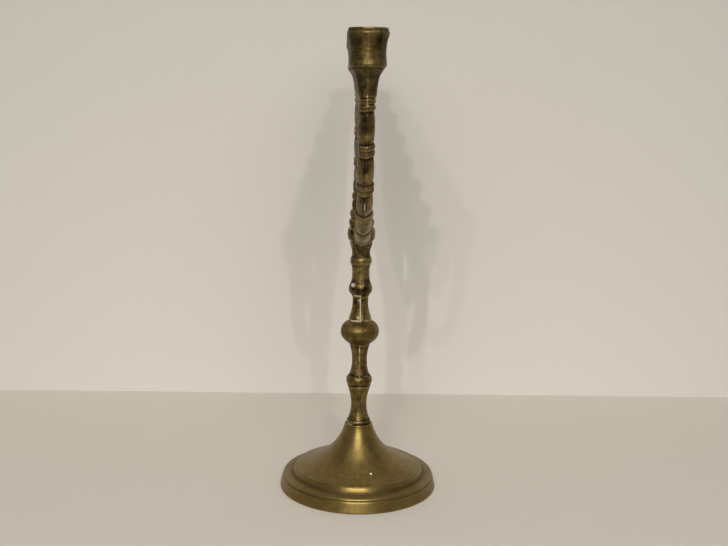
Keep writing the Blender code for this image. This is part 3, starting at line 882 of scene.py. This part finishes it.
def make_arm(rank, side, sign, seed):
    arm = ARMS[rank]
    first_rings = arm["centre_z"] - TOP_RINGS_Z
    along, x, z, total = arm_path(arm, first_rings)
    hub_z = arm["centre_z"] - arm["drop"]
    # level the last stretch before the hub
    z = hub_z + (z - hub_z) * np.clip((x - arm["hub"]) / 9.0, 0, 1)
    along_x, along_z = np.gradient(x, along), np.gradient(z, along)
    length = np.hypot(along_x, along_z)
    # normal in the arm's plane: away from the column at the tip, down at the hub
    normal_x, normal_z = -(along_z / length), along_x / length
    angle = seam_angles(ARM_SIDES, 0.36)
    # the two halves of the mould were a little out of step
    step = 0.26 * np.tanh(np.sin(angle) / 0.10)
    swell = 1 + arm["grow"] * along / total
    near_hub = (np.clip((along[-1] - along) / 7.0, 0, 1) ** 0.8)[:, None]
    tip_round = np.sqrt(np.clip((along - along[0]) / 0.5, 0, 1))
    away = ring_distance(along[:, None] + step[None, :] - first_rings)
    radius = bead_radius(away) * swell[:, None]
    radius = arm["end"] + (radius - arm["end"]) * near_hub
    radius = radius * (0.93 + 0.07 * tip_round)[:, None]
    profile = bead_radius(ring_distance(along - first_rings)) * swell
    line = np.stack([profile, -along], 1)

    def skin_relief(width):
        values = relief(line, False, width)
        return np.stack([np.interp(along + shift, along, values) for shift in step], 1)

    def place(radius):
        off = radius * np.cos(angle)
        return np.stack([sign * (x[:, None] + off * normal_x[:, None]),
                         radius * np.sin(angle), z[:, None] + off * normal_z[:, None]], -1)

    wide, medium, fine = (skin_relief(width) for width in (4.0, 1.5, 0.7))
    on_barrel = np.clip((away - 5.2) / 2.6, 0, 1)
    pos = place(radius)
    dist = seam_distance(angle, radius)
    crest = np.exp(-(dist / 0.34) ** 2)
    roof = np.exp(-(dist / 2.6) ** 1.2)     # the two mould halves meet in a ridge
    broken = np.clip(0.55 + 0.8 * vnoise(pos, 4.0, seed + 3), 0.0, 1)
    ragged = np.clip(0.5 + 1.0 * vnoise(pos, 6.0, seed + 9), 0.0, 1)
    delta = 0.13 * crest * broken + (0.95 * on_barrel + 0.85 * (1 - on_barrel)) * roof
    # shallow flats and a dark line beside the seam
    flank = np.exp(-((dist - 0.85) / 0.38) ** 2)
    delta = delta - 0.12 * flank * on_barrel * (0.4 + 0.6 * ragged)
    delta = delta - 0.16 * np.exp(-((dist - 3.0) / 1.3) ** 2) * on_barrel
    delta = delta + 0.08 * vnoise(pos, 7.0, seed) + 0.045 * vnoise(pos, 2.4, seed + 1)
    rng = np.random.RandomState(seed)
    pitted = np.zeros_like(delta)
    for _ in range(int(total / 6)):
        i, j = rng.randint(len(along)), rng.randint(ARM_SIDES)
        pit = pit_at(pos, pos[i, j], 0.28 + 0.45 * rng.rand() ** 2)
        delta = delta - 0.20 * pit
        pitted = np.maximum(pitted, pit)
    pos = place(radius + delta)

    cav = 0.8 * np.clip(-medium / 0.22, 0, 1) + 0.7 * np.clip(-fine / 0.07, 0, 1)
    cav = np.clip(cav + pitted + 0.85 * flank * on_barrel * ragged, 0, 1)
    edge = np.clip(medium / 0.30, 0, 1) + 0.5 * np.clip(fine / 0.12, 0, 1)
    edge = np.clip(edge + 0.35 * np.exp(-((dist - 5.2) / 2.2) ** 2) * on_barrel, 0, 1)
    shade_and_tarnish = np.clip(-wide / 0.8, 0, 1)
    shade_and_tarnish = np.clip(shade_and_tarnish + 0.55 * np.exp(-(dist / 2.4) ** 2) * ragged * on_barrel, 0, 1)
    # painted shade: the -Y half of each casting is darker, and so are the flanks facing -Y and +Y
    flanks = np.clip((np.abs(np.sin(angle)) - 0.80) / 0.18, 0, 1)
    shade_and_tarnish = np.clip(shade_and_tarnish + 0.16 * (np.sin(angle) < 0) * on_barrel
                    + 0.45 * flanks * (0.3 + 0.9 * ragged), 0, 1)
    # polish has dried beside the first rings and, more, low down near the column
    low = np.clip((along / total - 0.32) / 0.10, 0, 1)[:, None]
    tip = np.exp(-((along - first_rings) / 7.0) ** 2)[:, None]
    near_seam = np.exp(-(dist / 1.8) ** 2)
    res = np.clip(cav * (1 - on_barrel) * (0.10 + 0.45 * low) * (0.3 + 1.0 * ragged)
                  + crest * (0.10 + 0.50 * low) * (0.3 + 0.7 * ragged)
                  + 0.55 * tip * near_seam * ragged
                  + 0.52 * low * near_seam * ragged, 0, 1)

    shares = np.array([0.3, 0.55, 0.75, 0.88, 0.96, 1.0])
    fillet = hub_fillet(pos[-1], hub_z, sign, shares)

    def extend(values, amount):
        """Carry an attribute on over the fillet, rising to an amount at the hub."""
        return np.vstack([values, np.outer(amount * shares ** 3, np.ones(ARM_SIDES))])

    attrs = {"cav": extend(cav, 0.85), "edge": extend(edge, 0.0), "shade_and_tarnish": extend(shade_and_tarnish, 0.6),
             "seamline": extend(crest, 0.0), "res": extend(res, 0.55)}
    verts = np.vstack([pos.reshape(-1, 3), *fillet, (sign * x[0], 0.0, z[0]),
                       (sign * (arm["hub"] - 4.0), 0.0, hub_z)])
    faces = grid_faces(len(along) + len(shares), ARM_SIDES, False)
    if sign < 0:                 # keep the skin facing out
        faces = [tuple(reversed(face)) for face in faces]
    part = make_mesh("branch_%s_%s" % (rank, side), verts, faces, attrs, ARM_M)
    stand_in(part, "arm_%s_%s" % (rank, side))


arm_seed = 101
for rank in ARMS:
    for side, sign in SIDES:
        make_arm(rank, side, sign, arm_seed)
        arm_seed += 11

# ---------------------------------------------------------------- fasteners
THREAD_PITCH, THREAD_DEPTH = 0.8, 0.34
NUT_LOW, NUT_HIGH = 44.8, 48.8
NUT_HALF_WIDTH = 4.0       # across the flats

ROD = [(0.5, 362.4), (2.0, 362.4, 1), (2.45, 361.8, 1), (2.45, 60.0), (2.45, 42.6, 1),
       (2.0, 42.0, 1), (0.5, 42.0)]
WASHER = [(8.0, 50.3, 1), (8.0, 49.1, 1), (BORE, 49.1, 1), (BORE, 50.3, 1)]
NUT = [(4.6, NUT_HIGH, 1), (4.6, NUT_LOW, 1), (2.9, NUT_LOW, 1), (2.7, 45.3, 1),
       (2.7, 48.3, 1), (2.9, NUT_HIGH, 1)]


def thread(angle, line):
    """Thread cut into the lower end of the rod."""
    height = line[:, 1]
    turn = (height[:, None] / THREAD_PITCH - angle[None, :] / TAU) % 1.0
    cut = (height < 56) & (height > 42.7) & (line[:, 0] > 2.3)
    return -THREAD_DEPTH * np.abs(turn * 2 - 1) * cut[:, None]


def hexagon(angle, line):
    """Six flats with 30 degree chamfers."""
    flat = NUT_HALF_WIDTH / np.cos((angle + math.pi / 6) % (math.pi / 3) - math.pi / 6)
    from_end = np.minimum(line[:, 1] - NUT_LOW, NUT_HIGH - line[:, 1])
    chamfer = 4.05 + np.clip(from_end, 0, None) / math.tan(math.radians(30))
    want = np.minimum(flat[None, :], chamfer[:, None])
    return np.where((line[:, 0] > 4.0)[:, None], want - line[:, 0, None], 0.0)


rod_line = outline(ROD, step=0.16, ease=0.1, closed=False)
# the plain shank needs few rows
rod_line = [point for i, point in enumerate(rod_line)
            if point[1] < 57 or point[1] > 361 or i % 24 == 0]
rod = revolve("tie_rod_threaded", rod_line, STEEL_M, count=40, closed=False, seam=0.0,
              wobble=0.0, seed=71, bend=thread, squeeze=0.0)
stand_in(rod, "tie_rod")

washer = revolve("foot_washer_pressed", outline(WASHER, step=0.4, ease=0.22), STEEL_M,
                 count=96, seam=0.0, wobble=0.03, seed=73, squeeze=0.0)
stand_in(washer, "foot_washer")

nut = revolve("foot_nut_hex", outline(NUT, step=0.2, ease=0.05), STEEL_M, count=120, seam=0.0,
              wobble=0.0, seed=77, bend=hexagon, squeeze=0.0)
stand_in(nut, "foot_nut")

# ---------------------------------------------------------------- stage, in metres
FLOOR_Z = -0.0002
WALL_X = -0.276


def pale_colour(net, coords, red, green, blue):
    clouds = net.noise(coords, scale=3.0, rough=0.5)
    return net.mix(clouds, (red * 0.985, green * 0.98, blue * 0.975, 1), (red, green, blue, 1))


def in_view(net, axis):
    """How far a world axis points along the line of sight."""
    turn = net.node("VectorTransform", vector_type="VECTOR", convert_from="WORLD",
                    convert_to="CAMERA")
    turn.inputs[0].default_value = axis
    return net.separate(turn.outputs[0])[2]


def finish_stage(net, coords, colour, hide):
    """Matt surface, clear from behind and wherever hide is 1."""
    hide = net.math("MAXIMUM", hide, net.node("NewGeometry").outputs["Backfacing"])
    grain = net.noise(coords, scale=420.0, rough=0.6)
    matt = net.principled(Base_Color=colour, Roughness=0.75, Specular_IOR_Level=0.25,
                          Normal=net.bump(grain, strength=0.06, distance=0.0004))
    clear = net.node("BsdfTransparent")
    mix = net.node("MixShader")
    for socket, value in zip(mix.inputs, (hide, matt, clear.outputs[0])):
        net.put(socket, value)
    return net.finish(mix.outputs[0])


def floor_material():
    net, coords = material_net("pale_floor")
    x = net.separate(coords)[0]
    colour = pale_colour(net, coords, red=0.637, green=0.602, blue=0.556)
    seen = net.node("LightPath").outputs["Is Camera Ray"]
    # painted shade: what the brass mirrors of the floor darkens away from the object
    far = net.node("VectorMath", operation="LENGTH")
    net.put(far.inputs[0], coords)
    dim = net.map_range(far.outputs["Value"], source=(0.35, 1.1), target=(1.0, 0.22))
    # painted light: the camera sees it a little paler towards the backdrop
    lift = net.map_range(x, source=(0.12, -0.26), target=(1.0, 1.10))
    colour = net.shade(colour, net.math("MAXIMUM", dim, net.mul(seen, lift)))
    from_below = net.math("GREATER_THAN", in_view(net, (0.0, 0.0, 1.0)), 0.03)
    return finish_stage(net, coords, colour, from_below)


def wall_material():
    """Only seen square on, so that it never hides the object from another side."""
    net, coords = material_net("pale_backdrop")
    z = net.separate(coords)[2]
    colour = pale_colour(net, coords, red=0.665, green=0.643, blue=0.607)
    # painted shade: a little darker towards the top
    fade = net.math("MAXIMUM", net.math("MULTIPLY_ADD", z, -0.50, 1.06), 0.78)
    colour = net.shade(colour, fade)
    askew = net.math("LESS_THAN", net.math("ABSOLUTE", in_view(net, (1.0, 0.0, 0.0))), 0.90)
    return finish_stage(net, coords, colour, askew)


def sheet(name, corners, material):
    mesh = bpy.data.meshes.new(name)
    mesh.from_pydata(corners, [], [(0, 1, 2, 3)])
    mesh.materials.append(material)
    part = bpy.data.objects.new(name, mesh)
    scene.collection.objects.link(part)


sheet("floor", [(-4, -4, FLOOR_Z), (4, -4, FLOOR_Z), (4, 4, FLOOR_Z), (-4, 4, FLOOR_Z)],
      floor_material())
sheet("backdrop", [(WALL_X, -1.6, FLOOR_Z), (WALL_X, 1.6, FLOOR_Z), (WALL_X, 1.6, 1.0),
                   (WALL_X, -1.6, 1.0)], wall_material())


def build_world():
    """A dim room in front, pale screens at both sides, a paler ceiling."""
    scene.world = bpy.data.worlds.new("studio")
    net = Net(scene.world, "OutputWorld")
    x, y, z = net.separate(net.node("TexCoord").outputs["Generated"])

    def fade(value, source, target):
        return net.map_range(value, source, target, interpolation_type="SMOOTHSTEP")

    ceiling = fade(z, source=(0.25, 0.95), target=(0.0, 0.10))
    sideways = net.math("ABSOLUTE", y, 0.0)
    screens = net.mul(fade(sideways, source=(0.50, 0.90), target=(0.0, 0.27)),
                      fade(z, source=(0.35, 0.75), target=(1.0, 0.2)))
    behind = net.mul(fade(x, source=(0.1, -0.5), target=(0.0, 0.10)),
                     fade(z, source=(0.55, 0.9), target=(1.0, 0.1)))
    level = net.add(net.add(net.math("MAXIMUM", ceiling, screens), behind), 0.095)
    room = net.mix(1.0, net.combine(level, level, level), (1.0, 0.955, 0.89, 1), "MULTIPLY")
    seen = net.node("LightPath").outputs["Is Camera Ray"]
    background = net.node("Background")
    net.put(background.inputs["Color"], net.mix(seen, room, (0.52, 0.485, 0.43, 1)))
    background.inputs["Strength"].default_value = 1.0
    net.finish(background.outputs[0])


build_world()

# ---------------------------------------------------------------- lights
KEY_COLOUR = (1.0, 0.955, 0.88)
SOFT_COLOUR = (1.0, 0.965, 0.90)


def lamp(name, where, size, watts, colour, target=(0.0, 0.0, 0.18), mirrored=True,
         matt=True, wide=None, rotation=None):
    """An area lamp aimed at target, unless a rotation is given.

    mirrored: shows in polished metal. matt: lights plain surfaces.
    """
    light = bpy.data.lights.new(name, "AREA")
    light.shape = "RECTANGLE" if wide else "DISK"
    light.size = size
    if wide:
        light.size_y = wide
    light.energy = watts
    light.color = colour
    part = bpy.data.objects.new(name, light)
    part.location = where
    aim = Vector(target) - Vector(where)
    part.rotation_euler = rotation or aim.to_track_quat("-Z", "Y").to_euler()
    part.visible_glossy = mirrored
    part.visible_diffuse = matt
    scene.collection.objects.link(part)


for name, y, z, watts in (("key_right", 0.298, 1.294, 5.6), ("key_left", -0.333, 1.294, 7.4),
                          ("key_far_left", -0.516, 1.216, 3.6)):
    lamp(name, (2.0, y, z), size=0.02, watts=watts, colour=KEY_COLOUR)
lamp("soft_front", (1.70, 0.0, 1.15), size=1.7, watts=25.6, colour=SOFT_COLOUR,
     target=(-0.15, 0.0, 0.15), mirrored=False)
for name, y, watts in (("glint_right", 0.298, 7.0), ("glint_left", -0.333, 6.5)):
    lamp(name, (1.99, y, 1.290), size=0.15, watts=watts, colour=(1.0, 0.99, 0.88), matt=False)
lamp("sheen", (0.68, 0.0, 1.58), size=0.50, watts=6.2, colour=(1.0, 0.985, 0.86), matt=False,
     wide=2.4, rotation=(0.0, math.radians(23.0), 0.0))
lamp("ceiling_glow", (0.95, 0.10, 1.65), size=0.85, watts=2.6, colour=SOFT_COLOUR,
     target=(0.0, 0.0, 0.05))

# ---------------------------------------------------------------- camera
YAW, TILT, ROLL = 0.021152, 0.184860, 0.016575           # radians
LATERAL, DISTANCE, HEIGHT = 0.002824, 0.902213, 0.364701

level_right = Vector((math.sin(YAW), math.cos(YAW), 0.0))
away = Vector((-math.cos(YAW), math.sin(YAW), 0.0))
up = Vector((0.0, 0.0, 1.0))
forward = away * math.cos(TILT) - up * math.sin(TILT)
tilted_up = away * math.sin(TILT) + up * math.cos(TILT)
cam_right = level_right * math.cos(ROLL) + tilted_up * math.sin(ROLL)
cam_up = tilted_up * math.cos(ROLL) - level_right * math.sin(ROLL)
cam_place = level_right * LATERAL - away * DISTANCE + up * HEIGHT

cam_data = bpy.data.cameras.new("camera")
cam_data.sensor_width = 36.0
cam_data.lens = 51.428571
cam_data.clip_start = 0.02
cam_data.clip_end = 40.0
camera = bpy.data.objects.new("camera", cam_data)
scene.collection.objects.link(camera)
axes = Matrix((cam_right, cam_up, -forward)).transposed()
camera.matrix_world = Matrix.Translation(cam_place) @ axes.to_4x4()
scene.camera = camera
scene.view_settings.view_transform = "Standard"

bpy.context.view_layer.update()
